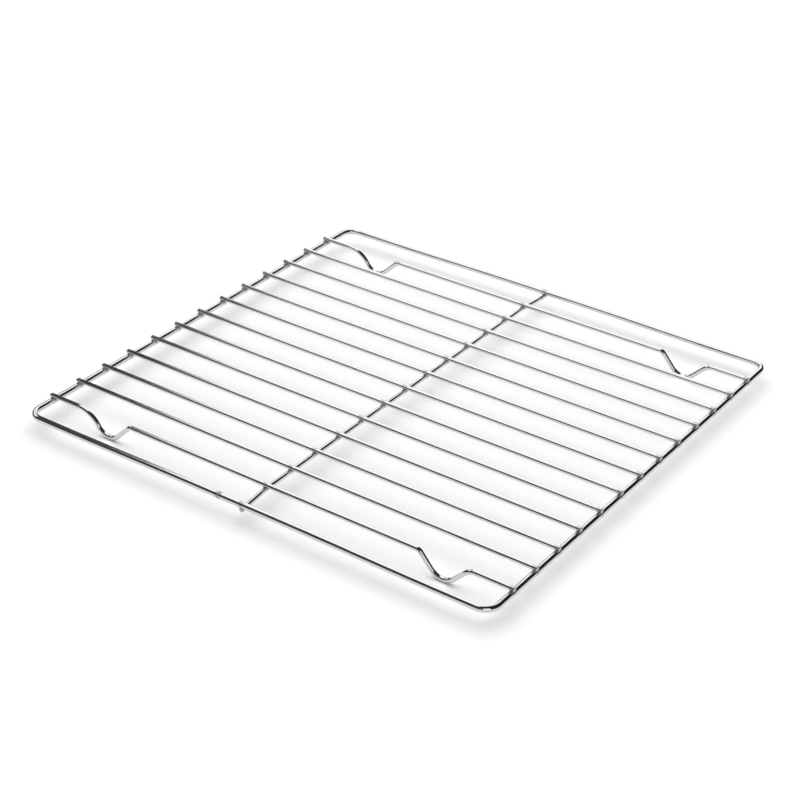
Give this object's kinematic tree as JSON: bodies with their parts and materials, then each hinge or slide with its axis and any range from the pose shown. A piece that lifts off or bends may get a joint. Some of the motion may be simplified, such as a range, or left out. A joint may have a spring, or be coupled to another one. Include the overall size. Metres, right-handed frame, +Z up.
{
  "type": "cooling rack",
  "caption": "Square wire cooling rack: parallel bright wires welded across a round-cornered frame, over a centre brace, with the end wires bent down as feet.",
  "frame": {"origin": "centre of the rack, on the plane that the feet stand on", "axes": "+X right along the cross wires, +Y from front to back, +Z up"},
  "size_m": [0.335, 0.3304, 0.0159],
  "materials": {
    "frame_chrome": "bright chrome plate on drawn steel wire",
    "wire_chrome": "bright chrome plate on drawn steel wire",
    "weld_chrome": "chrome plate over rough weld metal, a little duller than the wire"
  },
  "bodies": {
    "root": {"frame_wire": "frame_chrome", "frame_butt_weld": "weld_chrome", "centre_brace": "wire_chrome", "foot_wire_front": "wire_chrome", "foot_wire_back": "wire_chrome", "cross_wire_01": "wire_chrome", "cross_wire_02": "wire_chrome", "cross_wire_03": "wire_chrome", "cross_wire_04": "wire_chrome", "cross_wire_05": "wire_chrome", "cross_wire_06": "wire_chrome", "cross_wire_07": "wire_chrome", "cross_wire_08": "wire_chrome", "cross_wire_09": "wire_chrome", "cross_wire_10": "wire_chrome", "cross_wire_11": "wire_chrome", "weld_beads_left": "weld_chrome", "weld_beads_right": "weld_chrome", "weld_beads_brace": "weld_chrome", "weld_beads_rails": "weld_chrome"}
  },
  "joints": []
}
